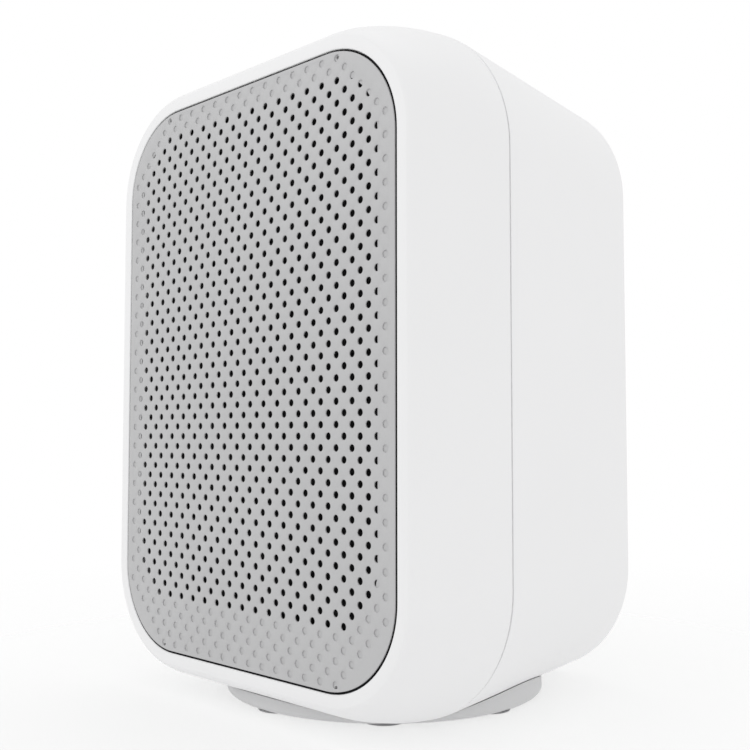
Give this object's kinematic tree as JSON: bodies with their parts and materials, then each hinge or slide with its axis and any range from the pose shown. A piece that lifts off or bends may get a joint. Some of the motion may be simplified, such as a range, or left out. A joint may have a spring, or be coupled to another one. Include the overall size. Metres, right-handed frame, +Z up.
{
  "type": "smart speaker",
  "caption": "Upright smart speaker cabinet with a perforated flush grille, two-part rounded shell, round base disc, inner drivers, boards and keys.",
  "frame": {"origin": "centre of the floor contact, under the middle of the cabinet", "axes": "+Z up, -Y out of the front with the grille, +X to the right as seen from the front"},
  "size_m": [0.122, 0.094, 0.1595],
  "materials": {
    "white_shell": "fine matte moulded texture",
    "seal_rubber": "soft matte rubber",
    "grille_paint": "satin light grey paint",
    "grille_plastic": "matte light grey moulding",
    "acoustic_cloth": "fine open weave",
    "black_plastic": "moulded, slightly glossy",
    "black_metal": "black coated pressing",
    "plated_steel": "zinc plated",
    "ferrite": "dark sintered ferrite",
    "dark_screw": "black oxide",
    "board_brown": "phenolic board",
    "cone_paper": "pressed black pulp",
    "surround_rubber": "smooth butyl",
    "spider_cloth": "stiffened weave",
    "copper": "enamelled winding",
    "dome_silk": "coated silk",
    "board_green": "solder mask",
    "transformer_tape": "tape over winding",
    "sink_aluminium": "extruded",
    "inlet_plastic": "moulded",
    "grey_plastic": "moulded",
    "clear_guide": "clear moulding",
    "damping_felt": "loose felt",
    "lead_red": "insulated wire",
    "lead_yellow": "insulated wire",
    "ribbon_grey": "flat cable",
    "base_plastic": "fine matte moulding",
    "foot_rubber": "soft matte rubber",
    "plated_screw": "zinc plated",
    "insert_brass": "knurled insert"
  },
  "bodies": {
    "cabinet": {"front_housing": "white_shell", "rear_shell": "white_shell", "seam_gasket": "seal_rubber", "grille_sheet": "grille_paint", "grille_frame": "grille_plastic", "grille_cloth": "acoustic_cloth", "grille_seal": "seal_rubber", "grille_bushes": "seal_rubber", "baffle": "black_plastic", "woofer_gasket": "seal_rubber", "woofer_basket": "black_metal", "woofer_top_plate": "plated_steel", "woofer_magnet": "ferrite", "woofer_yoke": "plated_steel", "woofer_screws": "dark_screw", "woofer_terminal": "board_brown", "tweeter_plate": "black_plastic", "tweeter_magnet": "plated_steel", "tweeter_screws": "dark_screw", "microphone_boards": "board_green", "microphone_seals": "seal_rubber", "main_board": "board_green", "shield_can": "plated_steel", "antennas": "board_brown", "power_board": "board_green", "transformer": "transformer_tape", "capacitors": "black_plastic", "heat_sink": "sink_aluminium", "power_inlet": "inlet_plastic", "inlet_pins": "plated_steel", "reset_switch": "black_plastic", "button_board": "board_green", "button_switches": "black_plastic", "light_guide": "clear_guide", "damping_pads": "damping_felt", "woofer_lead": "lead_red", "tweeter_lead": "lead_yellow", "board_ribbon": "ribbon_grey", "base_disc": "base_plastic", "rubber_feet": "foot_rubber", "base_screws": "plated_screw", "housing_screws": "plated_screw", "housing_inserts": "insert_brass", "board_screws": "plated_screw"},
    "woofer_moving": {"woofer_cone": "cone_paper", "woofer_surround": "surround_rubber", "dust_cap": "cone_paper", "woofer_spider": "spider_cloth", "voice_coil": "copper"},
    "tweeter_moving": {"tweeter_dome": "dome_silk", "tweeter_coil": "copper"},
    "volume_down_key": {"volume_down_button": "white_shell"},
    "action_key": {"action_button": "white_shell"},
    "volume_up_key": {"volume_up_button": "white_shell"},
    "reset_key": {"reset_button": "grey_plastic"}
  },
  "joints": [
    {"name": "woofer_slide", "type": "slide", "parent": "cabinet", "child": "woofer_moving", "axis": [0, -1, 0], "range_m": [-0.003, 0.003], "stiffness_N_per_m": 1200},
    {"name": "tweeter_slide", "type": "slide", "parent": "cabinet", "child": "tweeter_moving", "axis": [0, -1, 0], "range_m": [-0.0003, 0.0003], "stiffness_N_per_m": 600},
    {"name": "volume_down_press", "type": "slide", "parent": "cabinet", "child": "volume_down_key", "axis": [0, 0, -1], "range_m": [0, 0.0005], "stiffness_N_per_m": 400},
    {"name": "action_press", "type": "slide", "parent": "cabinet", "child": "action_key", "axis": [0, 0, -1], "range_m": [0, 0.0005], "stiffness_N_per_m": 400},
    {"name": "volume_up_press", "type": "slide", "parent": "cabinet", "child": "volume_up_key", "axis": [0, 0, -1], "range_m": [0, 0.0005], "stiffness_N_per_m": 400},
    {"name": "reset_press", "type": "slide", "parent": "cabinet", "child": "reset_key", "axis": [0, -1, 0], "range_m": [0, 0.0006], "stiffness_N_per_m": 300}
  ]
}
